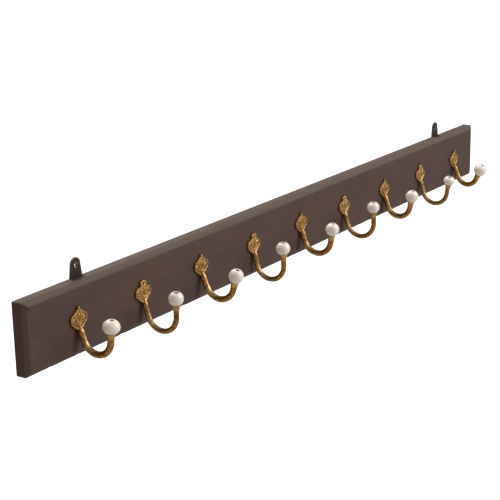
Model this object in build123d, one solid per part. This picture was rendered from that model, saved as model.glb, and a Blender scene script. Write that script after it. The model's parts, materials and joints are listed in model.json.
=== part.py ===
from build123d import *
import os
from math import cos, radians, sin, sqrt
from typing import NamedTuple

# A coat rail: a bevelled hardwood board with nine brass hooks, each ending in a porcelain ball,
# hung from two iron lugs.  Millimetres.  X runs along the board, the wall is the plane y = 0, the
# hooks face -Y, and Z is up.  The origin is the middle of the board's back face.

# Board
board_length = 1321.0
board_height = 101.6
board_thickness = 20.0
bevel_on_face = 7.0
bevel_in_depth = 5.0

# Row of hooks
hook_pitch = 141.0

# Back plates, in two patterns that take turns along the row
plate_thickness = 2.2
boss_height = 1.6
side_lobe_radius = 7.0
neck_drop = 13.0
neck_radius = 4.6

# Arms
arm_start_drop = 9.0
arm_start_out = 5.6
tenon_radius = 2.4
cup_rim_radius = 6.2
cup_length = 10.0
cup_clearance = 0.3

# Balls and the pins that hold them
pin_radius = 2.0
bore_clearance = 0.06
pin_depth_in_arm = 8.0
recess_depth = 2.6
recess_rim = 1.0
pin_head_gap = 0.6
pin_head_height = 1.5
pin_head_lift = 0.2

# Plate screws
screw_head_radius = 3.2
screw_cone_height = 1.8
screw_dome_height = 0.8
screw_shank_radius = 1.5
screw_length = 15.0
screw_slot_width = 0.8
screw_slot_depth = 0.5

# Hanging lugs and their screws
lug_places = {"left": -538.5, "right": 525.0}
lug_thickness = 3.0
lug_rise = 27.0
lug_drop = 34.0
lug_width = 24.0
lug_top_radius = 9.5
lug_hole_radius = 1.9
lug_hole_below_top = 10.5
lug_countersink_radius = 3.6
lug_countersink_depth = 0.8
lug_screw_drops = (9.0, 25.0)


class Pattern(NamedTuple):
    """What the hooks of one pattern have in common."""
    pointed: bool
    lobe_spread: float
    lobe_height: float
    arm_radius: float
    leg_length: float
    recess_radius: float


class Hook(NamedTuple):
    """One hook: its pattern, where it was screwed on by eye, how it was bent, and its ball.

    The ball's flatness is its height, before its top is cut, as a share of its diameter.
    """
    pattern: Pattern
    shift: float
    rise: float
    shaft_lean: float
    bend_drop: float
    bend_radius: float
    tip_lean: float
    ball_diameter: float
    ball_flatness: float


pointed = Pattern(True, 10.5, -1.0, 4.8, 22.0, 3.2)
rounded = Pattern(False, 11.5, 1.0, 4.1, 27.0, 4.4)

hooks = (
    Hook(pointed, 4.0, 2.0, 7.0, 45.2, 24.0, 6.0, 24.0, 0.86),
    Hook(rounded, 0.0, 1.0, 7.0, 53.0, 25.5, 1.0, 21.5, 0.97),
    Hook(pointed, -2.0, 3.0, 12.0, 47.5, 25.5, 15.0, 22.5, 1.0),
    Hook(rounded, -3.0, 1.0, 3.0, 53.0, 25.5, -2.0, 22.0, 0.95),
    Hook(pointed, -3.0, 2.0, 6.0, 47.5, 25.8, 8.0, 22.5, 0.98),
    Hook(rounded, -3.0, 0.0, 6.0, 50.8, 26.5, -2.0, 21.0, 0.97),
    Hook(pointed, 1.0, -1.0, 10.0, 48.0, 23.0, 11.0, 23.0, 0.98),
    Hook(rounded, 2.0, -2.0, 8.0, 54.0, 25.0, 10.0, 21.0, 0.84),
    Hook(pointed, 7.0, -2.0, 15.0, 48.2, 20.6, 24.5, 24.5, 0.98),
)


def front_plane(x, z):
    """A plane on the board's front face: local x along the board, y up, z out from the board."""
    return Plane((x, -board_thickness, z), x_dir=(1, 0, 0), z_dir=(0, -1, 0))


def hook_plane(index):
    """The front plane at the middle of one hook's back plate."""
    x = hook_pitch * (index - (len(hooks) - 1) / 2) + hooks[index].shift
    return front_plane(x, hooks[index].rise)


def bevelled_board():
    """The bare board, with a wide flat bevel round its front face."""
    blank = Box(board_length, board_thickness, board_height, align=(Align.CENTER, Align.MAX, Align.CENTER))
    face = blank.faces().sort_by(Axis.Y)[0]
    return chamfer(face.edges(), bevel_on_face, bevel_in_depth, reference=face)


def countersunk_screw():
    """A slotted screw along -Z, its head's rim in the plane z = 0 and a low dome above it."""
    tip_height = 3.0
    outline = Polyline(
        (0, screw_dome_height),
        (screw_head_radius * 0.6, screw_dome_height * 0.75),
        (screw_head_radius, 0),
        (screw_shank_radius, -screw_cone_height),
        (screw_shank_radius, tip_height - screw_length),
        (0, -screw_length),
        close=True,
    )
    body = revolve(Plane.XZ * make_face(outline), Axis.Z)
    slot = Pos(0, 0, screw_dome_height) * Box(4 * screw_head_radius, screw_slot_width, 2 * screw_slot_depth)
    return body - slot


def screw_places(hook):
    """The middles of a plate's two side lobes, where its screws go."""
    spread, height = hook.pattern.lobe_spread, hook.pattern.lobe_height
    return [(-spread, height), (spread, height)]


def plate_outline(hook):
    """A shield that narrows to a neck: its top is pointed or round."""
    neck = Pos(0, -neck_drop) * Circle(neck_radius)
    lobes = [Pos(x, y) * Circle(side_lobe_radius) for x, y in screw_places(hook)]
    top = Pos(0, 16.3) * Circle(1.5) if hook.pattern.pointed else Pos(0, 12.0) * Circle(5.8)
    return make_hull(neck.edges() + lobes[0].edges() + lobes[1].edges() + top.edges())


def back_plate(hook):
    """The cast plate: the leaf, a raised boss down its middle, and its holes, about its centre."""
    leaf = extrude(plate_outline(hook), plate_thickness)
    boss = Pos(0, 1.0, plate_thickness) * extrude(Ellipse(4.6, 9.0), boss_height, taper=25)
    plate = leaf + boss
    for x, y in screw_places(hook):
        plate -= Pos(x, y, plate_thickness) * countersunk_screw()
    if not hook.pattern.pointed:
        plate -= Pos(0, 12.6) * Cylinder(1.6, 4 * plate_thickness)
    plate -= Pos(0, -arm_start_drop) * Cylinder(tenon_radius, 4 * plate_thickness)
    return plate


def arm_line(hook):
    """The arm's middle line in the hook's plane: where it starts, bends, leaves the bend and ends.

    Each point is (height, distance out).  The shaft leans out by shaft_lean, the bend is one arc
    whose lowest point is bend_drop below the plate's centre, and the leg leans out by tip_lean.
    """
    down, radius = hook.bend_drop, hook.bend_radius
    lean, tip = radians(hook.shaft_lean), radians(hook.tip_lean)
    shaft = (down - radius - arm_start_drop + radius * sin(lean)) / cos(lean)
    start = (-arm_start_drop, arm_start_out)
    bend_in = (start[0] - shaft * cos(lean), start[1] + shaft * sin(lean))
    centre = (radius - down, bend_in[1] + radius * cos(lean))
    lowest = (-down, centre[1])
    bend_out = (centre[0] - radius * sin(tip), centre[1] + radius * cos(tip))
    leg = hook.pattern.leg_length
    ball = (bend_out[0] + leg * cos(tip), bend_out[1] + leg * sin(tip))
    return start, bend_in, lowest, bend_out, ball


def flattened_ball(hook, allowance=0.0):
    """The ball before it is cut, as an ellipse turned about its own axis, larger by an allowance."""
    radius = hook.ball_diameter / 2
    outline = Ellipse(radius + allowance, radius * hook.ball_flatness + allowance)
    half = outline & Pos(2 * radius, 0) * Rectangle(4 * radius, 4 * radius)
    return revolve(Plane.XZ * half, Axis.Z)


def height_at(hook, distance):
    """How far above its centre the ball's surface is at this distance from its axis."""
    return hook.ball_flatness * sqrt((hook.ball_diameter / 2) ** 2 - distance ** 2)


def ball_plane(hook):
    """A plane through the ball's centre, its normal along the leg, about the plate's centre."""
    height, out = arm_line(hook)[4]
    tip = radians(hook.tip_lean)
    return Plane((0, height, out), x_dir=(1, 0, 0), z_dir=(0, cos(tip), sin(tip)))


def hook_arm(hook):
    """The bent round arm with its tenon and the flared cup that the ball sits in."""
    radius = hook.pattern.arm_radius
    start, bend_in, lowest, bend_out, ball = [Vector(0, height, out) for height, out in arm_line(hook)]
    seat = ball_plane(hook)
    cup_base = ball - seat.z_dir * (height_at(hook, cup_rim_radius) + cup_length)
    path = Line(start, bend_in) + ThreePointArc(bend_in, lowest, bend_out) + Line(bend_out, cup_base)
    rod = sweep(Plane(start, x_dir=(1, 0, 0), z_dir=bend_in - start) * Circle(radius), path)
    rounded_end = Pos(*start) * Sphere(radius)
    cup = Plane(cup_base, x_dir=(1, 0, 0), z_dir=seat.z_dir) * Cone(
        radius, cup_rim_radius, cup_length, align=(Align.CENTER, Align.CENTER, Align.MIN)
    )
    arm = rod + rounded_end + cup - seat * flattened_ball(hook, cup_clearance)
    plate_front = Box(60, 60, plate_thickness, align=(Align.CENTER, Align.CENTER, Align.MIN))
    arm -= Pos(0, 30 - neck_drop - neck_radius) * plate_front
    arm -= back_plate(hook)
    tenon_top = plate_thickness + 0.5
    arm += Pos(0, -arm_start_drop) * Cylinder(
        tenon_radius, tenon_top, align=(Align.CENTER, Align.CENTER, Align.MIN)
    )
    return arm - ball_pin(hook)


def recess_floor(hook):
    """How far above the ball's centre the floor of its top recess is."""
    return height_at(hook, hook.pattern.recess_radius + recess_rim) - recess_depth


def ball_pin(hook):
    """The pin through the ball: a shank driven into the arm, and a head in the ball's recess."""
    seat_depth = height_at(hook, 0) + cup_clearance
    floor = recess_floor(hook) + pin_head_lift
    upward = (Align.CENTER, Align.CENTER, Align.MIN)
    bottom = -seat_depth - pin_depth_in_arm
    shank = Pos(0, 0, bottom) * Cylinder(pin_radius, floor - bottom, align=upward)
    head_radius = hook.pattern.recess_radius - pin_head_gap
    head = Pos(0, 0, floor) * Cylinder(head_radius, pin_head_height, align=upward)
    head = fillet(head.edges().sort_by(Axis.Z)[-1], 0.8)
    return ball_plane(hook) * (shank + head)


def porcelain_ball(hook):
    """The ball: flat round its top recess, and bored through for its pin."""
    radius = hook.ball_diameter / 2
    floor = recess_floor(hook)
    top = floor + recess_depth
    upward = (Align.CENTER, Align.CENTER, Align.MIN)
    ball = flattened_ball(hook) - Pos(0, 0, top) * Box(2 * radius, 2 * radius, radius, align=upward)
    ball -= Pos(0, 0, floor) * Cylinder(hook.pattern.recess_radius, radius, align=upward)
    ball -= Cylinder(pin_radius + bore_clearance, 4 * radius)
    return ball_plane(hook) * ball


def plate_screws(hook):
    """The two screws of one plate, about the plate's centre."""
    return [Pos(x, y, plate_thickness) * countersunk_screw() for x, y in screw_places(hook)]


def lug_plane(side):
    """A plane on the wall at one lug: local x along the board, y up, z towards the room."""
    return Plane((lug_places[side], 0, board_height / 2), x_dir=(1, 0, 0), z_dir=(0, -1, 0))


def lug_screws(side):
    """The two screws that hold a lug, their heads flush with the wall side of the lug."""
    screws = []
    for drop in lug_screw_drops:
        place = Location((0, -drop, screw_dome_height), (180, 0, 0))
        screws.append(lug_plane(side) * place * countersunk_screw())
    return screws


def lug_blank(side):
    """A lug before it is drilled: straight below the board's top edge, tapering to a round end."""
    foot = Pos(0, -lug_drop / 2) * Rectangle(lug_width, lug_drop)
    end = Pos(0, lug_rise - lug_top_radius) * Circle(lug_top_radius)
    return lug_plane(side) * extrude(make_hull(foot.edges() + end.edges()), lug_thickness)


def hanging_lug(side):
    """An iron lug with a countersunk hanging hole above the board."""
    hole_height = lug_rise - lug_hole_below_top
    hole = Cylinder(lug_hole_radius, 4 * lug_thickness)
    mouth = Pos(0, 0, lug_thickness) * Cone(
        lug_hole_radius,
        lug_countersink_radius,
        lug_countersink_depth,
        align=(Align.CENTER, Align.CENTER, Align.MAX),
    )
    lug = lug_blank(side) - lug_plane(side) * Pos(0, hole_height) * (hole + mouth)
    for screw, drop in zip(lug_screws(side), lug_screw_drops):
        head_room = Cylinder(screw_head_radius, 2 * screw_dome_height)
        lug -= screw + lug_plane(side) * Pos(0, -drop) * head_room
    return lug


def write(name, shape):
    """Write one node's solids to its file."""
    export_step(shape, os.path.join("parts", name + ".step"))


def main():
    os.makedirs("parts", exist_ok=True)
    board = bevelled_board()
    for index, hook in enumerate(hooks):
        plane = hook_plane(index)
        number = index + 1
        screws = [plane * screw for screw in plate_screws(hook)]
        for screw in screws:
            board -= screw
        write(f"hook_plate_{number}", plane * back_plate(hook))
        write(f"hook_arm_{number}", plane * hook_arm(hook))
        write(f"porcelain_ball_{number}", plane * porcelain_ball(hook))
        write(f"ball_pin_{number}", plane * ball_pin(hook))
        write(f"plate_screws_{number}", Compound(screws))
    for side in lug_places:
        screws = lug_screws(side)
        board -= lug_blank(side)
        for screw in screws:
            board -= screw
        write(f"hanging_lug_{side}", hanging_lug(side))
        write(f"lug_screws_{side}", Compound(screws))
    write("board", board)


main()
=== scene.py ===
import json
from math import cos, pi, radians, sin, sqrt

import bmesh
import bpy
import numpy as np
from bpy.props import FloatProperty, FloatVectorProperty, PointerProperty
from bpy.types import Operator, Panel, PropertyGroup
from mathutils import Matrix, Vector


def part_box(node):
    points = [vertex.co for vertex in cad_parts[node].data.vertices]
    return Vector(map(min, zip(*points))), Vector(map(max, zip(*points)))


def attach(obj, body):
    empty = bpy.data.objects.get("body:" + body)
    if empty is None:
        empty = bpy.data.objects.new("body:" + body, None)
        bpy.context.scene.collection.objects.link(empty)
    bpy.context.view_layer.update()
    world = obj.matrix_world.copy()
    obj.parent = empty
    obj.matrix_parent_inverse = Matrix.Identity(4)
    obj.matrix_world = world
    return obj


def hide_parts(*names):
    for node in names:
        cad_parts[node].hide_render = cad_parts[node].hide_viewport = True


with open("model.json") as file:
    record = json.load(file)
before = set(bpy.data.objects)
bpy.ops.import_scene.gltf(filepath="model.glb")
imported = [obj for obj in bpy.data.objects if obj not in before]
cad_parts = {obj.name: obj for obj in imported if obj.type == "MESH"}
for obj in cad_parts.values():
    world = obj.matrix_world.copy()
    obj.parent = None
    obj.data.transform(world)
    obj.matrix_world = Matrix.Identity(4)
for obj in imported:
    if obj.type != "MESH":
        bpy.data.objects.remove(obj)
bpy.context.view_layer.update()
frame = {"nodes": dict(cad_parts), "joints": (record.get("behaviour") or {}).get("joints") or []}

bl_info = {
    "name": "Wall coat rail",
    "version": (1, 0, 0),
    "blender": (4, 5, 0),
    "location": "View3D > Sidebar > Coat rail",
    "description": "Makes the board, brass hooks, porcelain balls and iron lugs of a coat rail",
    "category": "Object",
}

joints = {joint["name"]: joint for joint in frame["joints"]}
hook_count = len(joints)

# Sizes in the functions below are millimetres, as on a drawing; a mesh is scaled to metres when it
# is made.  "Up" is along the board's height and "out" is away from its front face.
MM = 0.001

# The bevel along the board's front edges, and the rounding of its outline's four corners.
BEVEL_ON_FACE = 7.0
BEVEL_IN_DEPTH = 5.0
OUTLINE_CORNER = 2.0

# What the hooks of one pattern share: the screws' places in the leaf's side lobes (aside, up), the
# bar from each lobe to the leaf's top as two circles (aside, up, radius), the leaf's crown (width
# over height, up, radius), the radii of the bar, of the flare under the ball and of the recess in
# the ball's top, and the length of the leg.
PATTERNS = {
    "pointed": {"screw": (10.5, -1.0), "shoulder": ((10.6, 0.8, 6.6), (0, 13.6, 1.8)),
                "crown": (1.0, 15.4, 2.3), "bar": 4.8, "flare": 6.2, "recess": 3.2, "leg": 22.0},
    "rounded": {"screw": (11.5, 1.0), "shoulder": ((10.8, 0.4, 6.8), (0, 7.0, 4.6)),
                "crown": (1.25, 12.0, 5.6), "bar": 4.1, "flare": 6.0, "recess": 4.4, "leg": 27.0},
}

# How far a plate's centre is above its foot, and where the shaft starts (up from that centre, out).
PLATE_DROP = 17.6
SHAFT_START = (-9.0, 5.6)

# The bore through a ball, and how much larger the bowl is that holds the ball.
PIN_BORE = 2.06
BOWL_GAP = 0.25

# Each ball's height as a share of its diameter, from the left.
FLATNESS = (0.86, 0.97, 1.0, 0.95, 0.98, 0.97, 0.98, 0.84, 0.98)

# A lug's hole below its top, the radii of the hole, its countersink and the lug's round end, the
# countersink's depth, and how far the screws are below the board's top.
HOLE_DROP = 10.5
HOLE_RADIUS = 1.9
SINK_RADIUS = 3.6
SINK_DEPTH = 0.8
LUG_END = 9.5
SCREW_DROPS = (9.0, 25.0)


# ---------------------------------------------------------------------------------------------
# Settings that a user would change
# ---------------------------------------------------------------------------------------------

def linear(code):
    """An sRGB colour such as "#58493f" as linear red, green, blue and alpha."""
    srgb = np.array([int(code[i:i + 2], 16) for i in (1, 3, 5)]) / 255
    values = np.where(srgb <= 0.04045, srgb / 12.92, ((srgb + 0.055) / 1.055) ** 2.4)
    return (*values, 1.0)


def length(name, description, default):
    """A setting for a length, with its default in millimetres."""
    return FloatProperty(name=name, description=description, default=default * MM, min=0.0,
                         unit="LENGTH", subtype="DISTANCE", precision=5)


def colour(name, description, code):
    """A setting for a colour, with its default as an sRGB code."""
    return FloatVectorProperty(name=name, description=description, default=linear(code), size=4,
                               min=0.0, max=1.0, subtype="COLOR")


class RailSizes(PropertyGroup):
    edge_rounding: length("Edge rounding", "How far wear has rounded the board's edges", 1.2)
    dent_depth: length("Dent depth", "Depth of the deepest knock on the board's front edges", 0.7)
    leaf_thickness: length("Leaf thickness", "Thickness of a back plate at its screws", 2.2)
    rim_height: length("Rim height", "How far the leaf's rim stands above its face", 1.3)
    vein_height: length("Vein height", "Height of the veins on a back plate", 0.3)
    lug_edge: length("Lug edge", "Rounding of the iron lugs' edges", 0.5)


class RailColours(PropertyGroup):
    wood: colour("Wood", "Stain on the board", "#50382f")
    rubbed_wood: colour("Rubbed wood", "Where the stain is rubbed thin on the edges", "#57463d")
    # This grey is partly dust and partly a painted sheen on the board's top and upper bevel.
    dust_and_sheen: colour("Dust", "Dust on the board's top and its upper bevel", "#62584b")
    leaf_brass: colour("Leaf brass", "Raised parts of the back plates", "#d2ac78")
    patina: colour("Patina", "Tarnish in the hollows of the brass", "#4a2c12")
    glaze: colour("Glaze", "Porcelain of the balls", "#fdf2e5")
    iron: colour("Iron", "Lugs behind the board", "#33241d")


class RailStage(PropertyGroup):
    azimuth: FloatProperty(name="Azimuth", description="Camera's turn round the upright",
                           default=radians(-55.779), unit="ROTATION", subtype="ANGLE")
    elevation: FloatProperty(name="Elevation", description="Camera's height above the horizon",
                             default=radians(16.268), unit="ROTATION", subtype="ANGLE")
    roll: FloatProperty(name="Roll", description="Camera's tilt about its own line of sight",
                        default=radians(-1.183), unit="ROTATION", subtype="ANGLE")
    distance: length("Distance", "From the camera to the board's middle", 2245.2)
    aside: length("Aside", "How far the board's middle lies right of the line of sight", 67.81)
    above: length("Above", "How far the board's middle lies above the line of sight", 46.86)
    lens: FloatProperty(name="Lens", description="Focal length on a 36 mm sensor", default=97.45)
    floor_drop: length("Floor drop", "From the board's middle down to the floor", 1300.0)


# ---------------------------------------------------------------------------------------------
# Surfaces and meshes
# ---------------------------------------------------------------------------------------------

def smooth_step(low, high, value):
    """0 below low, 1 above high, and a cubic with flat ends between."""
    t = np.clip((value - low) / (high - low), 0, 1)
    return t * t * (3 - 2 * t)


def bell(value, width):
    """A Gaussian of height 1 about zero."""
    return np.exp(-(value / width) ** 2)


def wobble(along, waves, seed):
    """A smooth unevenness between -1 and 1: the mean of sines with these wave lengths and seeded
    phases."""
    phases = np.random.default_rng(seed).uniform(0, 2 * pi, len(waves))
    sines = [np.sin(2 * pi * along / wave + phase) for wave, phase in zip(waves, phases)]
    return np.mean(sines, axis=0)


def soft_union(first, second, blend):
    """The smaller of two distances, with the corner between them rounded over the blend."""
    overlap = np.clip(blend - np.abs(first - second), 0, None) / blend
    return np.minimum(first, second) - overlap ** 2 * blend / 4


def tapered_bar(x, up, start, end):
    """Distance to a flat bar that tapers from one circle to another, each (x, up, radius)."""
    (x0, up0, radius0), (x1, up1, radius1) = start, end
    run, rise = x1 - x0, up1 - up0
    share = np.clip(((x - x0) * run + (up - up0) * rise) / (run ** 2 + rise ** 2), 0, 1)
    to_line = np.hypot(x - x0 - share * run, up - up0 - share * rise)
    return to_line - radius0 - share * (radius1 - radius0)


def rounded_profile(corners, trims, steps=5):
    """A polyline whose corners are cut back by their trims and joined by parabolas."""
    corners, points = np.array(corners, float), []
    t = np.linspace(0, 1, steps)[:, None]
    for before, corner, after, trim in zip(corners, corners[1:], corners[2:], trims):
        start = corner + (before - corner) * trim / np.linalg.norm(before - corner)
        end = corner + (after - corner) * trim / np.linalg.norm(after - corner)
        points.append((1 - t) ** 2 * start + 2 * t * (1 - t) * corner + t ** 2 * end)
    return np.vstack([corners[:1], *points, corners[-1:]])


def grid_mesh(name, points, joined, marks):
    """A mesh of quads between the neighbours of a grid of points in millimetres.

    joined says of each direction whether its last row meets its first.  Rows that shrink to a point
    or a seam are merged, and faces are then turned outwards.  marks are named numbers per point.
    """
    rows, columns = points.shape[:2]
    index = np.arange(rows * columns).reshape(rows, columns)
    if joined[0]:
        index = np.vstack([index, index[:1]])
    if joined[1]:
        index = np.hstack([index, index[:, :1]])
    quads = np.stack([index[:-1, :-1], index[:-1, 1:], index[1:, 1:], index[1:, :-1]], axis=-1)
    mesh = bpy.data.meshes.new(name)
    mesh.from_pydata(points.reshape(-1, 3) * MM, [], quads.reshape(-1, 4).tolist())
    for label, values in marks.items():
        layer = mesh.attributes.new(label, "FLOAT", "POINT")
        layer.data.foreach_set("value", np.broadcast_to(values, (rows, columns)).ravel())
    shape = bmesh.new()
    shape.from_mesh(mesh)
    bmesh.ops.remove_doubles(shape, verts=shape.verts, dist=2e-6)
    bmesh.ops.recalc_face_normals(shape, faces=shape.faces)
    shape.to_mesh(mesh)
    shape.free()
    mesh.shade_smooth()
    return mesh


def place_piece(name, mesh, material, body, node):
    """Puts a finished mesh in the scene: it rides on its body and stands for its CAD node."""
    mesh.materials.clear()
    mesh.materials.append(material)
    piece = bpy.data.objects.new(name, mesh)
    bpy.context.scene.collection.objects.link(piece)
    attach(piece, body)
    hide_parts(node)


def sweep(line, forward, radii, around):
    """Circles of these radii square to a line in the hook's plane, as (rings, around, 3) points.

    The line and its directions are (up, out) pairs; x runs along the board.
    """
    angle = np.linspace(0, 2 * pi, around, endpoint=False)
    side = np.stack([-forward[:, 1], forward[:, 0]], axis=-1)
    x = radii[:, None] * np.cos(angle)
    plane = line[:, None] + side[:, None] * (radii[:, None] * np.sin(angle))[..., None]
    return np.dstack([x, plane[..., 1], plane[..., 0]])


# ---------------------------------------------------------------------------------------------
# The board
# ---------------------------------------------------------------------------------------------

def board_ring(half_long, half_high, corner):
    """Points round a rectangle with rounded corners.

    Each one's place on the box of the corners' centres, as shares from -1 to 1, then its outward
    direction, and the run length to it.
    """
    long, short, round_corner = 330, 26, 4
    along, down = np.linspace(-1, 1, long), np.linspace(1, -1, short)
    turn = np.linspace(0, pi / 2, round_corner + 2)[1:-1]
    quarter = np.array([np.sin(turn), np.cos(turn)])
    corner_ones, top = np.ones(round_corner), np.array([np.zeros(long), np.ones(long)])
    side = np.array([np.ones(short), np.zeros(short)])
    box = np.hstack([
        [along, np.ones(long)], [corner_ones, corner_ones],
        [np.ones(short), down], [corner_ones, -corner_ones],
        [-along, -np.ones(long)], [-corner_ones, -corner_ones],
        [-np.ones(short), -down], [-corner_ones, corner_ones],
    ])
    normal = np.hstack([top, quarter, side, [quarter[1], -quarter[0]],
                        -top, -quarter, -side, [-quarter[1], quarter[0]]])
    edge = box * np.array([[half_long - corner], [half_high - corner]]) + normal * corner
    run = np.concatenate([[0], np.cumsum(np.hypot(*np.diff(edge, axis=1)))])
    return box, normal, run


def board_points(low, high, sizes):
    """The board as rings from its back's middle line, over its edges, to its front's middle line.

    Each ring is the outline moved inwards by an inset at a depth; the two follow a rounded profile
    of back, side, bevel and front.  Knocks push the front edges in: Gaussians at seeded places.
    """
    half_long, half_high, thickness = high[0], high[2], -low[1]
    rounding = sizes.edge_rounding / MM
    edge_depth = thickness - BEVEL_IN_DEPTH
    # An extra ring inside the edges of the back and the front keeps those faces flat.
    back_ring, front_ring = 6, 12
    profile = rounded_profile(
        [(half_high, 0), (back_ring, 0), (0, 0), (0, edge_depth), (BEVEL_ON_FACE, thickness),
         (front_ring, thickness), (half_high, thickness)],
        [1.0, 0.6, rounding, 1.8, 1.0],
    )
    inset, depth = profile[:, 0], profile[:, 1]
    box, normal, run = board_ring(half_long, half_high, OUTLINE_CORNER)
    knock_count = 90
    random = np.random.default_rng(11)
    places = random.uniform(0, run[-1], knock_count)
    widths = random.uniform(1.2, 5.0, knock_count)
    depths = random.uniform(0.1, 1.0, knock_count) ** 3 * sizes.dent_depth / MM
    knocks = (depths * bell(run[:, None] - places, widths)).sum(axis=1)
    uneven = 0.12 * wobble(run, (173, 61, 29, 11), 5)
    outer_edge = np.hypot(inset, depth - edge_depth)
    inner_edge = np.hypot(inset - BEVEL_ON_FACE, depth - thickness)
    near_edge = np.maximum(bell(outer_edge, 2.5), 0.7 * bell(inner_edge, 2.5))
    push = near_edge[:, None] * (knocks + uneven)
    moved = np.minimum(inset[:, None] + push, half_high)
    inner = np.maximum(OUTLINE_CORNER, moved)
    outer = np.clip(OUTLINE_CORNER - moved, 0, None)
    x = box[0] * (half_long - inner) + normal[0] * outer
    up = box[1] * (half_high - inner) + normal[1] * outer
    out = -(depth[:, None] - 0.6 * push * (depth[:, None] > edge_depth / 2))
    return np.dstack([x, out, up])


def cut_pocket(mesh, low, high):
    """Cuts a box out of a mesh with a Boolean modifier that is applied at once."""
    cutter = bpy.data.meshes.new("cutter")
    corner = np.array(np.meshgrid(*zip(low, high), indexing="ij")).reshape(3, -1).T
    faces = [(0, 1, 3, 2), (4, 6, 7, 5), (0, 4, 5, 1), (2, 3, 7, 6), (0, 2, 6, 4), (1, 5, 7, 3)]
    cutter.from_pydata(corner, [], faces)
    block, tool = bpy.data.objects.new("block", mesh), bpy.data.objects.new("tool", cutter)
    for thing in (block, tool):
        bpy.context.scene.collection.objects.link(thing)
    cut = block.modifiers.new("pocket", "BOOLEAN")
    cut.operation, cut.solver, cut.object = "DIFFERENCE", "EXACT", tool
    depsgraph = bpy.context.evaluated_depsgraph_get()
    result = bpy.data.meshes.new_from_object(block.evaluated_get(depsgraph))
    for thing in (block, tool):
        bpy.data.objects.remove(thing)
    return result


def mark_rubbing(mesh, low, high):
    """Marks how near each point is to an edge of the bevel, where hands rub the stain thin."""
    place = np.zeros(len(mesh.vertices) * 3)
    mesh.vertices.foreach_get("co", place)
    x, y, z = place.reshape(-1, 3).T / MM
    inset = np.minimum(high[0] - np.abs(x), high[2] - np.abs(z))
    outer_edge = np.hypot(inset, y - low[1] - BEVEL_IN_DEPTH)
    inner_edge = np.hypot(inset - BEVEL_ON_FACE, y - low[1])
    rubbed = np.maximum(bell(outer_edge, 1.6), 0.4 * bell(inner_edge, 1.2))
    mesh.attributes.new("rubbed", "FLOAT", "POINT").data.foreach_set("value", rubbed)


# ---------------------------------------------------------------------------------------------
# The hooks
# ---------------------------------------------------------------------------------------------

def hook_facts(number):
    """Where one hook is and how it is bent, read from its CAD nodes and its ball's joint.

    Heights are from the plate's centre and distances out from the board's face.  The leg runs down
    the joint's axis, and the bend is the circle that touches the leg's end and the lowest height.
    The shaft is the tangent to that circle from its start, and lean is its turn from the upright.
    """
    pointed = bool(number % 2)
    pattern = PATTERNS["pointed" if pointed else "rounded"]
    plate_low, plate_high = np.array(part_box(f"hook_plate_{number}")) / MM
    ball_low, ball_high = np.array(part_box(f"porcelain_ball_{number}")) / MM
    arm_low = np.array(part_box(f"hook_arm_{number}")[0]) / MM
    face = np.array(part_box("board")[0])[1] / MM
    joint = joints[f"ball_{number}_turn"]
    middle, height = (plate_low[0] + plate_high[0]) / 2, plate_low[2] + PLATE_DROP
    position = np.array(joint["pos_m"]) / MM
    ball = np.array([position[2] - height, face - position[1]])
    tip = np.array([joint["axis"][2], -joint["axis"][1]])
    leg_end = ball - pattern["leg"] * tip
    lowest = arm_low[2] + pattern["bar"] - height
    bend = (leg_end[0] - lowest) / (1 - tip[1])
    centre = leg_end + bend * np.array([tip[1], -tip[0]])
    reach = centre - np.array(SHAFT_START)
    lean = np.arctan2(reach[0], reach[1]) + np.arccos(bend / np.hypot(*reach))
    return {
        "pattern": pattern, "pointed": pointed, "origin": np.array([middle, face, height]),
        "ball": ball, "ball_radius": (ball_high[0] - ball_low[0]) / 2,
        "flatness": FLATNESS[number - 1], "tip": tip, "leg_end": leg_end, "bend": bend,
        "centre": centre, "lean": lean,
    }


def to_rail(points, facts):
    """Moves points from a hook's own place, (x, out, up), to the rail's frame."""
    return facts["origin"] + points * np.array([1, -1, 1])


def leaf_distance(x, up, pattern):
    """Distance outside a leaf's outline: bars from each side lobe to the neck and to the top, which
    ends in a bead or a round lobe, run together and filled in between.

    Small scallops follow the outline above the neck, as 1 - cos of 16 times the angle.
    """
    width, crown_up, crown_radius = pattern["crown"]
    side = np.abs(x)
    neck = tapered_bar(side, up, (9.6, -2.2, 7.0), (0, -13.0, 4.4))
    shoulder = tapered_bar(side, up, *pattern["shoulder"])
    crown = np.hypot(x / width, up - crown_up) - crown_radius
    middle = tapered_bar(x, up, (0, -1.0, 9.0), (0, 12.5, 2.0))
    outline = soft_union(soft_union(neck, shoulder, 1.5), crown, 1.8)
    turn = np.arctan2(up - 1.0, x)
    scallops = 0.24 * (1 - np.cos(16 * turn)) * smooth_step(-12, -6, up)
    return np.minimum(outline, middle) + scallops


def neck_share(up):
    """0 on the leaf's face and 1 at the foot of its neck."""
    return smooth_step(-2.0, -13.0, up)


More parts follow.
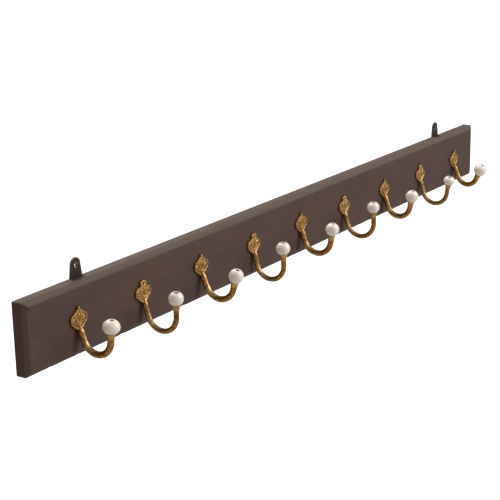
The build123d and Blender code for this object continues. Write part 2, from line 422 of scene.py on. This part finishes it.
def leaf_relief(x, up, facts, sizes):
    """How far the leaf's face stands out from the board.

    A raised rim follows the outline and the face is flat round each screw.  Its middle swells into
    the arm, with veins that fan out from the neck and two curled tendrils.  A round top lobe has a
    nail hole with a raised lip; a pointed one ends in a bead.
    """
    screw_aside, screw_up = facts["pattern"]["screw"]
    fan_up, vein_count = -14.0, 17
    curl_aside, curl_up, curl_radius = 4.6, 5.6, 2.6
    bead_up, nail_up = 15.0, 12.6
    inside = -leaf_distance(x, up, facts["pattern"])
    screw = np.hypot(np.abs(x) - screw_aside, up - screw_up)
    thickness = sizes.leaf_thickness / MM
    rim = sizes.rim_height / MM * bell(inside - 1.4, 1.1)
    fan = np.arctan2(x, up - fan_up)
    veins = sizes.vein_height / MM * np.cos(vein_count * fan)
    veins = veins * smooth_step(2.2, 3.4, inside) * smooth_step(3.9, 4.8, screw)
    curl = np.hypot(np.abs(x) - curl_aside, up - curl_up)
    tendrils = 0.5 * bell(curl - curl_radius, 0.8)
    swelling = 1.8 * bell(x, 7.0) * bell(up - 1.0, 8.0) + 2.0 * bell(x, 4.4) * neck_share(up)
    face = thickness + rim + veins + tendrils + swelling
    if facts["pointed"]:
        face = face + 1.0 * bell(np.hypot(x, up - bead_up), 1.8)
    else:
        nail = np.hypot(x, up - nail_up)
        face = face + 1.0 * bell(nail - 2.8, 0.8)
        face = face * smooth_step(1.2, 1.9, nail) + 0.3
    beyond_seat = smooth_step(3.2, 4.0, screw)
    face = thickness * (1 - beyond_seat) + face * beyond_seat - 0.3 * bell(screw - 3.4, 0.3)
    return face - 0.8 * bell(inside, 0.5)


def leaf_points(facts, sizes):
    """The leaf on a polar grid about its centre, over its face, down its edge and across its back.

    Along each ray the outline is where the leaf's distance first turns positive.  The face is the
    relief above each point.  Also how hollow each point is: low on the face, and in its middle.
    """
    angle = np.linspace(0, 2 * pi, 256, endpoint=False)
    ray = np.linspace(0.5, 24, 400)[:, None]
    outside = leaf_distance(ray * np.cos(angle), ray * np.sin(angle), facts["pattern"]) > 0
    reach = ray[np.argmax(outside, axis=0), 0]
    reach = (np.roll(reach, 1) + 2 * reach + np.roll(reach, -1)) / 4
    share = np.linspace(0, 1, 58) ** 0.9
    radius = share[:, None] * reach
    x, up = radius * np.cos(angle), radius * np.sin(angle)
    face = leaf_relief(x, up, facts, sizes)
    hollow = 1 - smooth_step(1.6, 3.3, face - 2.0 * bell(x, 4.6) * neck_share(up))
    hollow = np.maximum(hollow, 0.40 * bell(x, 7.0) * bell(up - 1.0, 10.0))
    # The last three rings run in across the back to its middle.
    wall = np.array([0.75, 0.45, 0.15, 0.0, 0.0, 0.0])[:, None] * face[-1]
    spread = np.array([1.0, 1.0, 1.0, 0.99, 0.5, 0.0])[:, None]
    points = np.dstack([np.vstack([x, spread * x[-1]]), np.vstack([face, wall]),
                        np.vstack([up, spread * up[-1]])])
    return points, np.vstack([hollow, np.full(wall.shape, 0.7)])


def arm_points(facts):
    """The arm as circles along its line: a cubic curve from the leaf's neck into the bend, the
    bend, the leg, the flare and lip under the ball, and the bowl that the ball sits in.

    Also how far along the arm each ring is, from 0 at the leaf to 1 at the lip.
    """
    bar, flare = facts["pattern"]["bar"], facts["pattern"]["flare"]
    ball, flatness = facts["ball_radius"], facts["flatness"]
    bend, tip = facts["bend"], facts["tip"]
    # The stem joins the bend 0.55 radians on from where the shaft's tangent would.
    first, last = facts["lean"] + 0.55, pi - np.arctan2(tip[1], tip[0])
    turn = np.linspace(first, last, 38)[1:, None]
    arc = facts["centre"] - bend * np.hstack([np.sin(turn), np.cos(turn)])
    join = facts["centre"] - bend * np.array([sin(first), cos(first)])
    root, root_pull, join_pull = np.array([-10.0, 2.4]), np.array([-7.4, 3.0]), 9.0
    leave, arrive = root + root_pull, join - join_pull * np.array([-cos(first), sin(first)])
    t = np.linspace(0, 1, 34)[:, None]
    stem = ((1 - t) ** 3 * root + 3 * t * (1 - t) ** 2 * leave + 3 * t ** 2 * (1 - t) * arrive
            + t ** 3 * join)
    leg_top = facts["ball"] - flatness * sqrt(ball ** 2 - flare ** 2) * tip
    leg = facts["leg_end"] + np.linspace(0, 1, 34)[1:, None] * (leg_top - facts["leg_end"])
    line = np.vstack([stem, arc, leg])
    step = np.diff(line, axis=0)
    run = np.concatenate([[0], np.cumsum(np.hypot(*step.T))])
    forward = np.vstack([step[:1], (step[1:] + step[:-1]), step[-1:]])
    forward /= np.hypot(*forward.T)[:, None]
    # Half as thick at its root, the bar opens to the flare over its last 12 mm and ends in a lip.
    left = run[-1] - run
    radii = bar * (0.50 + 0.50 * smooth_step(-1, 9, run))
    radii = radii + (flare - 0.4 - bar) * smooth_step(12.0, 0.4, left) + 0.4 * bell(left - 0.9, 0.8)
    radii = radii + 0.10 * wobble(run, (31, 17, 9), int(facts["origin"][0]) % 97)
    radii[0] = 0.0
    # The bowl's rings, with the lip's inner ring before them.
    bowl_rings = 9
    bowl_radii = (flare - 0.3) * np.linspace(1, 0, bowl_rings)[1:]
    bowl_depth = flatness * np.sqrt((ball + BOWL_GAP) ** 2 - bowl_radii ** 2)
    line = np.vstack([line, leg_top + 0.25 * tip, facts["ball"] - bowl_depth[:, None] * tip])
    radii = np.concatenate([radii, [flare - 0.25], bowl_radii])
    forward = np.vstack([forward, np.tile(tip, (bowl_rings, 1))])
    along = np.concatenate([run / run[-1], np.ones(bowl_rings)])
    return sweep(line, forward, radii, 48), along[:, None]


def ball_points(facts):
    """The ball as half its outline turned about the leg's line.

    The outline is an ellipse from the pin's bore up to the recess in the ball's top, then the
    recess's rim, side and floor.  The bore joins its two ends.
    """
    ball, recess, flatness = facts["ball_radius"], facts["pattern"]["recess"], facts["flatness"]
    brim, recess_depth = recess + 1.0, 2.6
    top = flatness * sqrt(ball ** 2 - brim ** 2)
    turn = np.linspace(np.arcsin(PIN_BORE / ball), pi - np.arcsin((brim + 0.4) / ball), 60)
    outer = np.stack([ball * np.sin(turn), -flatness * ball * np.cos(turn)], axis=-1)
    inner = rounded_profile(
        [outer[-1], (brim - 0.35, top + 0.1), (recess, top - 0.5),
         (recess - 0.2, top - recess_depth), (PIN_BORE, top - recess_depth)],
        [0.55, 0.4, 0.7],
    )[1:]
    radius, height = np.vstack([outer, inner]).T
    line = facts["ball"] + height[:, None] * facts["tip"]
    return sweep(line, np.tile(facts["tip"], (len(line), 1)), radius, 72)


# ---------------------------------------------------------------------------------------------
# The hanging lugs
# ---------------------------------------------------------------------------------------------

def lug_points(low, high, board_top, sizes):
    """A lug as rings round its hanging hole: the bore, its chamfer, the front, the edge, the back.

    Along each ray from the hole the outline is where the distance to a taper and a straight foot
    first turns positive.  The front is slightly uneven, as a sum of long waves.  The back has a
    recess round each screw's head.  Also how much each point is rubbed: round the hole, brighter on
    two opposite sides of it as a painted glint, and a little along the edge.
    """
    middle, hole_height = (low[0] + high[0]) / 2, high[2] - HOLE_DROP
    thickness, half_width = high[1] - low[1], (high[0] - low[0]) / 2
    round_off, back_rim = sizes.lug_edge / MM, 0.3
    angle = np.linspace(0, 2 * pi, 360, endpoint=False)
    ray = np.linspace(4.0, 60.0, 2400)[:, None]
    x, up = ray * np.cos(angle), hole_height - board_top + ray * np.sin(angle)
    round_end = (0, high[2] - board_top - LUG_END, LUG_END)
    taper = tapered_bar(x, up, (0, 0, half_width), round_end)
    foot = np.maximum(np.maximum(np.abs(x) - half_width, up), low[2] - board_top - up)
    reach = ray[np.argmax(np.minimum(taper, foot) > 0, axis=0), 0]
    turn = np.linspace(0, pi / 2, 5)[1:, None]
    share = np.linspace(0, 1, 48)[:, None] ** 1.3
    ones = np.ones((1, 360))
    edge = reach - round_off
    front = SINK_RADIUS + share * (edge - SINK_RADIUS)
    back = HOLE_RADIUS + back_rim + share[::-1] * (edge - HOLE_RADIUS - back_rim)
    rings = (
        (HOLE_RADIUS * ones, back_rim * ones),
        (HOLE_RADIUS * ones, (thickness - SINK_DEPTH) * ones),
        ((HOLE_RADIUS + SINK_RADIUS) / 2 * ones, (thickness - SINK_DEPTH / 2) * ones),
        (front, thickness + 0 * front),
        (edge + round_off * np.sin(turn), thickness - round_off * (1 - np.cos(turn)) * ones),
        (edge + round_off * np.cos(turn), round_off * (1 - np.sin(turn)) * ones),
        (back, 0 * back),
        (HOLE_RADIUS * ones, back_rim * ones),
    )
    radius, out = (np.vstack(part) for part in zip(*rings))
    x, up = radius * np.cos(angle), hole_height + radius * np.sin(angle)
    forward = out > thickness / 2
    dips = 0.12 * wobble(x + 0.6 * up, (17, 9.1, 6.3), 3)
    dips = dips + 0.10 * wobble(up - 0.5 * x, (23, 11, 5.2), 4)
    out = out - np.where(forward, np.abs(dips) * smooth_step(4.0, 6.0, radius), 0)
    for drop in SCREW_DROPS:
        head = np.hypot(x, up - (board_top - drop))
        out = out + np.where(forward, 0, 1.0 * (1 - smooth_step(3.2, 3.7, head)))
    # Two opposite sides of the hole's rubbed rim are painted brighter, as a glint.
    glint_sides = 0.55 + 0.45 * np.cos(2 * angle - 2.2)
    rubbed = 0.9 * glint_sides * bell(radius - 3.0, 0.7) + 0.12 * bell(reach - radius, 0.7)
    return np.dstack([middle + x, high[1] - out, up]), rubbed


# ---------------------------------------------------------------------------------------------
# Materials
# ---------------------------------------------------------------------------------------------

def add(tree, kind, inputs=(), **properties):
    """Adds a node.  Each input gets a value, or is linked to another node's output."""
    node = tree.nodes.new(kind)
    for name, value in properties.items():
        setattr(node, name, value)
    for key, value in dict(inputs).items():
        if isinstance(value, bpy.types.NodeSocket):
            tree.links.new(value, node.inputs[key])
        else:
            node.inputs[key].default_value = value
    return node


def grey(value):
    """A grey of this linear value."""
    return (value, value, value, 1.0)


def noise(tree, place, scale, detail, roughness=0.5):
    """Cloudy noise with about scale cells in a metre."""
    inputs = {"Vector": place, "Scale": scale, "Detail": detail, "Roughness": roughness}
    return add(tree, "ShaderNodeTexNoise", inputs).outputs["Fac"]


def mark(tree, name):
    """The numbers that a mesh carries for its points under this name."""
    return add(tree, "ShaderNodeAttribute", attribute_name=name).outputs["Fac"]


def ramp(tree, value, *stops):
    """A colour picked by a value along stops, each a position and a colour."""
    node = add(tree, "ShaderNodeValToRGB", {"Fac": value})
    elements = node.color_ramp.elements
    while len(elements) < len(stops):
        elements.new(1.0)
    for element, (position, shade) in zip(elements, stops):
        element.position, element.color = position, tuple(shade)
    return node.outputs["Color"]


def remap(tree, value, low, high, start, end):
    """A value moved from the range low to high to the range start to end, and held inside it."""
    inputs = {"Value": value, "From Min": low, "From Max": high, "To Min": start, "To Max": end}
    return add(tree, "ShaderNodeMapRange", inputs).outputs[0]


def calculate(tree, operation, *values, **properties):
    """The result of one sum on these values."""
    inputs = dict(enumerate(values))
    return add(tree, "ShaderNodeMath", inputs, operation=operation, **properties).outputs[0]


def mix(tree, share, first, second, blend="MIX"):
    """A second colour laid over a first one, or multiplied into it, by a share."""
    inputs = {0: share, 6: first, 7: second}
    return add(tree, "ShaderNodeMix", inputs, data_type="RGBA", blend_type=blend).outputs[2]


def start_material(name):
    """A new material and its empty node tree."""
    material = bpy.data.materials.new(name)
    material.use_nodes = True
    material.node_tree.nodes.clear()
    return material, material.node_tree


def object_place(tree):
    """Each point's place in its object, in metres."""
    return add(tree, "ShaderNodeTexCoord").outputs["Object"]


def finish_surface(tree, inputs, height, strength, depth, coated=False):
    """Ends a material: a surface with these inputs, uneven by a height, its depth in metres."""
    bump = add(tree, "ShaderNodeBump", {"Height": height, "Strength": strength, "Distance": depth})
    normals = {name: bump.outputs[0] for name in ("Normal", "Coat Normal")[:1 + coated]}
    shader = add(tree, "ShaderNodeBsdfPrincipled", {**inputs, **normals})
    add(tree, "ShaderNodeOutputMaterial", {"Surface": shader.outputs[0]})


def stained_hardwood(colours):
    """Hardwood under dark brown stain and a satin wipe-on finish: faint long grain, open pores,
    stain rubbed thin on the edges, and a grey on what faces up that is partly dust and partly a
    painted sheen."""
    material, tree = start_material("stained hardwood")
    place = object_place(tree)
    # Growth streaks are about 5 mm wide and 30 times as long; pores are 0.7 mm wide.
    lengthwise = add(tree, "ShaderNodeMapping", {"Vector": place, "Scale": (0.033, 1.0, 1.0)})
    streaks = noise(tree, lengthwise.outputs[0], 200.0, 6.0, 0.62)
    pores = noise(tree, lengthwise.outputs[0], 1400.0, 2.0)
    clouds = noise(tree, place, 26.0, 3.0)
    streak_tone = ramp(tree, streaks, (0.30, grey(0.84)), (0.55, grey(1.0)), (0.75, grey(1.08)))
    cloud_tone = ramp(tree, clouds, (0.35, (0.86, 0.84, 0.86, 1.0)),
                      (0.65, (1.10, 1.10, 1.06, 1.0)))
    pore_tone = ramp(tree, pores, (0.30, grey(0.62)), (0.42, grey(1.0)))
    stained = mix(tree, 1.0, colours.wood, streak_tone, "MULTIPLY")
    stained = mix(tree, 1.0, stained, cloud_tone, "MULTIPLY")
    stained = mix(tree, 0.6, stained, pore_tone, "MULTIPLY")
    # The stain is rubbed off in patches about 11 mm across.
    patches = remap(tree, noise(tree, place, 90.0, 5.0, 0.7), 0.42, 0.62, 0.0, 0.85)
    worn = calculate(tree, "MULTIPLY", mark(tree, "rubbed"), patches)
    faded = mix(tree, worn, stained, colours.rubbed_wood)
    # Dust lies on the sloping top bevel, and thinner on the flat top, which is wiped; the same grey
    # also paints a sheen on what faces up.
    normal = add(tree, "ShaderNodeNewGeometry").outputs["True Normal"]
    upward = add(tree, "ShaderNodeSeparateXYZ", {0: normal}).outputs["Z"]
    dust_and_sheen = ramp(tree, upward, (0.15, grey(0.0)), (0.50, grey(0.60)), (0.65, grey(0.60)),
                (0.95, grey(0.26)))
    final = mix(tree, dust_and_sheen, faded, colours.dust_and_sheen)
    sheen = remap(tree, clouds, 0.3, 0.7, 0.66, 0.78)
    height = calculate(tree, "MULTIPLY_ADD", streaks, 0.5, pores)
    inputs = {"Base Color": final, "Roughness": sheen, "IOR": 1.5}
    finish_surface(tree, inputs, height, 0.35, 0.0004)
    return material


def cast_brass(colours):
    """Sand-cast brass, once lacquered: bright where it is rubbed, brown tarnish in its hollows, and
    a fine cast grain."""
    material, tree = start_material("sand-cast brass")
    place = object_place(tree)
    # Tarnish spreads in blots about 2 mm across; the sand's grain is 0.4 mm.
    blots = noise(tree, place, 480.0, 4.0, 0.6)
    sand = noise(tree, place, 2500.0, 2.0)
    spread = remap(tree, blots, 0.35, 0.65, -0.30, 0.35)
    tarnish = calculate(tree, "ADD", mark(tree, "hollow"), spread, use_clamp=True)
    tint = ramp(tree, tarnish, (0.0, colours.leaf_brass), (0.45, linear("#9a6c22")),
                (1.0, colours.patina))
    dull = remap(tree, tarnish, 0.0, 1.0, 0.56, 0.68)
    metal = remap(tree, tarnish, 0.0, 1.0, 1.0, 0.75)
    inputs = {"Base Color": tint, "Roughness": dull, "Metallic": metal}
    finish_surface(tree, inputs, sand, 0.35, 0.00015)
    return material


def bent_brass(colours):
    """A cast brass bar left to tarnish: browner than the leaves, pitted, redder on its leg, with a
    painted highlight on its bend and a lighter golden lip under the ball."""
    material, tree = start_material("tarnished brass bar")
    place = object_place(tree)
    # Blots are about 5 mm across, pits 1.1 mm apart, and the sand's grain 0.7 mm.
    blots = noise(tree, place, 210.0, 5.0, 0.65)
    pits = add(tree, "ShaderNodeTexVoronoi", {"Vector": place, "Scale": 900.0}).outputs["Distance"]
    sand = noise(tree, place, 1500.0, 3.0)
    # Colours along the arm from leaf to lip; the light stop at 0.34 is a painted highlight on the
    # bend.
    lengthwise = ramp(
        tree, mark(tree, "along"),
        (0.0, linear("#cfa864")), (0.14, linear("#c4925c")), (0.34, linear("#d8b27c")),
        (0.52, linear("#ae9054")), (0.70, linear("#ba8844")), (0.90, linear("#c48446")),
        (0.95, linear("#e0b46c")), (1.0, linear("#e0b46c")))
    spots = remap(tree, blots, 0.42, 0.66, 0.0, 0.75)
    tint = mix(tree, spots, lengthwise, colours.patina)
    dull = remap(tree, spots, 0.0, 1.0, 0.38, 0.6)
    height = calculate(tree, "MULTIPLY_ADD", sand, 0.6, remap(tree, pits, 0.0, 0.35, 0.0, 1.0))
    inputs = {"Base Color": tint, "Roughness": dull, "Metallic": 1.0}
    finish_surface(tree, inputs, height, 0.30, 0.0002)
    return material


def glazed_porcelain(colours):
    """Porcelain under a clear fired glaze: smooth and glossy, faintly uneven, with a few specks."""
    material, tree = start_material("glazed porcelain")
    place = object_place(tree)
    # The glaze pools in soft patches about 6 mm across; specks are 0.3 mm.
    pools = noise(tree, place, 160.0, 2.0)
    specks = noise(tree, place, 1800.0, 1.0)
    shade = ramp(tree, pools, (0.35, grey(0.93)), (0.65, grey(1.0)))
    speck = ramp(tree, specks, (0.22, (0.62, 0.56, 0.48, 1.0)), (0.27, grey(1.0)))
    white = mix(tree, 1.0, colours.glaze, shade, "MULTIPLY")
    white = mix(tree, 1.0, white, speck, "MULTIPLY")
    inputs = {"Base Color": white, "Roughness": 0.35, "IOR": 1.5, "Coat Weight": 0.6,
              "Coat Roughness": 0.16, "Coat IOR": 1.5}
    finish_surface(tree, inputs, pools, 0.12, 0.0003, coated=True)
    return material


def worn_metal(name, bright, dark, grain, share, rough):
    """A small metal part, bright where it is rubbed and dark where it is not.

    The patches are about grain millimetres across.  A larger share leaves more of it bright, and
    rough is how rough the bright patches are; the dark ones are rougher.
    """
    material, tree = start_material(name)
    place = object_place(tree)
    patches = noise(tree, place, 1.0 / (grain * MM), 4.0)
    scratches = noise(tree, place, 2600.0, 2.0)
    low, high = share - 0.12, share + 0.12
    tint = ramp(tree, patches, (low, linear(bright)), (high, linear(dark)))
    dull = remap(tree, patches, low, high, rough, rough + 0.25)
    inputs = {"Base Color": tint, "Roughness": dull, "Metallic": 1.0}
    finish_surface(tree, inputs, scratches, 0.3, 0.00012)
    return material


def forged_iron(colours):
    """Plate iron browned with age: dull scale and rust blooms, rubbed bright round its hole, and a
    painted glint on two sides of the hole.
    """
    material, tree = start_material("browned iron")
    # Scale comes away in flakes about 4 mm across.
    scale = noise(tree, object_place(tree), 260.0, 6.0, 0.65)
    # The worn mark is rubbed metal round the hole, made brighter on two of its sides as a painted
    # glint.
    worn = mark(tree, "worn")
    tone = ramp(tree, scale, (0.35, linear("#1d1512")), (0.55, colours.iron),
                (0.74, linear("#4a3020")))
    tint = mix(tree, worn, tone, linear("#c9a27a"))
    metal = remap(tree, worn, 0.0, 1.0, 0.15, 1.0)
    dull = remap(tree, worn, 0.0, 1.0, 0.62, 0.32)
    inputs = {"Base Color": tint, "Metallic": metal, "Roughness": dull}
    finish_surface(tree, inputs, scale, 0.5, 0.0003)
    return material


# ---------------------------------------------------------------------------------------------
# Operators
# ---------------------------------------------------------------------------------------------

class RAIL_OT_board(Operator):
    """Make the bevelled hardwood board with its worn edges and the pockets for the lugs"""
    bl_idname = "rail.board"
    bl_label = "Board"

    def execute(self, context):
        sizes = context.scene.rail_sizes
        low, high = np.array(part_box("board")) / MM
        mesh = grid_mesh("board_worn", board_points(low, high, sizes), (False, True), {})
        slack, behind = 0.1 * MM, 10 * MM
        for side in ("left", "right"):
            lug_low, lug_high = np.array(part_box(f"hanging_lug_{side}"))
            mesh = cut_pocket(mesh, lug_low - slack * np.array([1, 0.5, 1]),
                              (lug_high[0] + slack, behind, lug_high[2]))
        mesh.name = "board_worn"
        mark_rubbing(mesh, low, high)
        place_piece("board_worn", mesh, stained_hardwood(context.scene.rail_colours), "rail",
                    "board")
        return {"FINISHED"}


class RAIL_OT_leaves(Operator):
    """Make the nine cast leaf plates"""
    bl_idname = "rail.leaves"
    bl_label = "Leaf plates"

    def execute(self, context):
        material = cast_brass(context.scene.rail_colours)
        for number in range(1, hook_count + 1):
            facts = hook_facts(number)
            points, hollow = leaf_points(facts, context.scene.rail_sizes)
            name = f"leaf_plate_{number}"
            mesh = grid_mesh(name, to_rail(points, facts), (False, True), {"hollow": hollow})
            place_piece(name, mesh, material, "rail", f"hook_plate_{number}")
        return {"FINISHED"}


class RAIL_OT_arms(Operator):
    """Make the nine bent arms with the flares that hold the balls"""
    bl_idname = "rail.arms"
    bl_label = "Arms"

    def execute(self, context):
        material = bent_brass(context.scene.rail_colours)
        for number in range(1, hook_count + 1):
            facts = hook_facts(number)
            points, along = arm_points(facts)
            name = f"bent_arm_{number}"
            mesh = grid_mesh(name, to_rail(points, facts), (False, True), {"along": along})
            place_piece(name, mesh, material, "rail", f"hook_arm_{number}")
        return {"FINISHED"}


class RAIL_OT_balls(Operator):
    """Make the nine porcelain balls"""
    bl_idname = "rail.balls"
    bl_label = "Balls"

    def execute(self, context):
        material = glazed_porcelain(context.scene.rail_colours)
        for number in range(1, hook_count + 1):
            facts = hook_facts(number)
            name = f"glazed_ball_{number}"
            mesh = grid_mesh(name, to_rail(ball_points(facts), facts), (True, True), {})
            place_piece(name, mesh, material, f"ball_{number}",
                        f"porcelain_ball_{number}")
        return {"FINISHED"}


class RAIL_OT_fastenings(Operator):
    """Finish the pins and screws, whose CAD shapes stay"""
    bl_idname = "rail.fastenings"
    bl_label = "Pins and screws"

    def execute(self, context):
        looks = {
            "ball_pin": worn_metal("tarnished brass pins", "#6b563c", "#2a2018", 1.6, 0.45, 0.35),
            "plate_screws": worn_metal("rubbed brass screws", "#d9b77c", "#8a6234", 1.4, 0.5, 0.3),
            "lug_screws": worn_metal("dull steel screws", "#8f8a84", "#4a423c", 1.8, 0.45, 0.40),
        }
        for name, node in frame["nodes"].items():
            for start, material in looks.items():
                if name.startswith(start):
                    node.data.materials.clear()
                    node.data.materials.append(material)
        return {"FINISHED"}


class RAIL_OT_lugs(Operator):
    """Make the two iron lugs with softened edges and rubbed hanging holes that carry a painted
    glint
    """
    bl_idname = "rail.lugs"
    bl_label = "Hanging lugs"

    def execute(self, context):
        material = forged_iron(context.scene.rail_colours)
        board_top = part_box("board")[1][2] / MM
        for side in ("left", "right"):
            node = f"hanging_lug_{side}"
            low, high = np.array(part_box(node)) / MM
            points, rubbed = lug_points(low, high, board_top, context.scene.rail_sizes)
            mesh = grid_mesh(f"iron_lug_{side}", points, (True, True), {"worn": rubbed})
            place_piece(f"iron_lug_{side}", mesh, material, "rail", node)
        return {"FINISHED"}


class RAIL_OT_stage(Operator):
    """Make the pale floor, the soft lights and the camera"""
    bl_idname = "rail.stage"
    bl_label = "Stage"

    def execute(self, context):
        stage, scene = context.scene.rail_stage, context.scene
        self.make_floor(stage)
        self.make_lights()
        turn, rise, roll = stage.azimuth, stage.elevation, stage.roll
        back = np.array([sin(turn) * cos(rise), -cos(turn) * cos(rise), sin(rise)])
        level = np.array([cos(turn), sin(turn), 0])
        upright = np.cross(back, level)
        right = cos(roll) * level + sin(roll) * upright
        up = -sin(roll) * level + cos(roll) * upright
        spot = -stage.aside * right - stage.above * up + stage.distance * back
        camera = bpy.data.objects.new("camera", bpy.data.cameras.new("camera"))
        camera.data.lens, camera.data.sensor_width = stage.lens, 36.0
        camera.data.clip_start, camera.data.clip_end = 0.05, 100.0
        turned = np.eye(4)
        turned[:3, :4] = np.column_stack([right, up, back, spot])
        scene.collection.objects.link(camera)
        camera.matrix_world = Matrix(turned.tolist())
        scene.camera = camera
        scene.view_settings.view_transform = "Standard"
        return {"FINISHED"}

    def make_floor(self, stage):
        """A wide pale floor that the camera sees as evenly white, so it shows no edge or shadow."""
        material, tree = start_material("pale floor")
        paint = add(tree, "ShaderNodeBsdfDiffuse", {"Color": grey(0.6)})
        seen = add(tree, "ShaderNodeLightPath").outputs["Is Camera Ray"]
        glow = add(tree, "ShaderNodeEmission", {"Color": grey(1.0), "Strength": seen})
        both = add(tree, "ShaderNodeAddShader", {0: paint.outputs[0], 1: glow.outputs[0]})
        add(tree, "ShaderNodeOutputMaterial", {"Surface": both.outputs[0]})
        reach = 60.0
        mesh = bpy.data.meshes.new("floor")
        corners = [(-reach, -reach), (reach, -reach), (reach, reach), (-reach, reach)]
        mesh.from_pydata([(x, y, -stage.floor_drop) for x, y in corners], [], [(0, 1, 2, 3)])
        mesh.materials.append(material)
        floor = bpy.data.objects.new("floor", mesh)
        bpy.context.scene.collection.objects.link(floor)

    def make_lights(self):
        """A key softbox in front, right of and above the rail, a smaller one above and behind it,
        and an even sky that looks white and lights a little warm."""
        world = bpy.data.worlds.new("pale sky")
        bpy.context.scene.world = world
        world.use_nodes = True
        tree = world.node_tree
        tree.nodes.clear()
        seen = add(tree, "ShaderNodeLightPath").outputs["Is Camera Ray"]
        strength = remap(tree, seen, 0.0, 1.0, 0.40, 1.0)
        tone = mix(tree, seen, (1.0, 0.94, 0.88, 1.0), grey(1.0))
        sky = add(tree, "ShaderNodeBackground", {"Color": tone, "Strength": strength})
        add(tree, "ShaderNodeOutputWorld", {"Surface": sky.outputs[0]})
        # Each has a name, a place, a width and a power, and is turned towards the board's middle.
        softboxes = (
            ("key softbox", (2.6, -4.3, 3.0), 4.0, 226.0),
            ("back softbox", (0.4, 1.4, 2.0), 1.8, 48.0),
        )
        for name, place, size, power in softboxes:
            lamp = bpy.data.lights.new(name, "AREA")
            lamp.shape, lamp.size, lamp.energy = "DISK", size, power
            light = bpy.data.objects.new(name, lamp)
            bpy.context.scene.collection.objects.link(light)
            light.rotation_mode = "QUATERNION"
            light.rotation_quaternion = Vector(place).to_track_quat("Z", "Y")
            light.location = place


class RAIL_PT_panel(Panel):
    """Lists the rail's makers and settings"""
    bl_label = "Coat rail"
    bl_idname = "RAIL_PT_panel"
    bl_space_type = "VIEW_3D"
    bl_region_type = "UI"
    bl_category = "Coat rail"

    def draw(self, context):
        for operator in OPERATORS:
            self.layout.operator(operator.bl_idname)
        scene = context.scene
        for settings in (scene.rail_sizes, scene.rail_colours, scene.rail_stage):
            for key in settings.__annotations__:
                self.layout.prop(settings, key)


OPERATORS = (RAIL_OT_board, RAIL_OT_leaves, RAIL_OT_arms, RAIL_OT_balls, RAIL_OT_fastenings,
             RAIL_OT_lugs, RAIL_OT_stage)
CLASSES = (RailSizes, RailColours, RailStage, *OPERATORS, RAIL_PT_panel)


def register():
    for each in CLASSES:
        bpy.utils.register_class(each)
    bpy.types.Scene.rail_sizes = PointerProperty(type=RailSizes)
    bpy.types.Scene.rail_colours = PointerProperty(type=RailColours)
    bpy.types.Scene.rail_stage = PointerProperty(type=RailStage)


def unregister():
    del bpy.types.Scene.rail_sizes, bpy.types.Scene.rail_colours, bpy.types.Scene.rail_stage
    for each in reversed(CLASSES):
        bpy.utils.unregister_class(each)


def main():
    register()
    bpy.ops.rail.stage()
    bpy.ops.rail.board()
    bpy.ops.rail.leaves()
    bpy.ops.rail.arms()
    bpy.ops.rail.balls()
    bpy.ops.rail.fastenings()
    bpy.ops.rail.lugs()


if __name__ == "__main__":
    main()
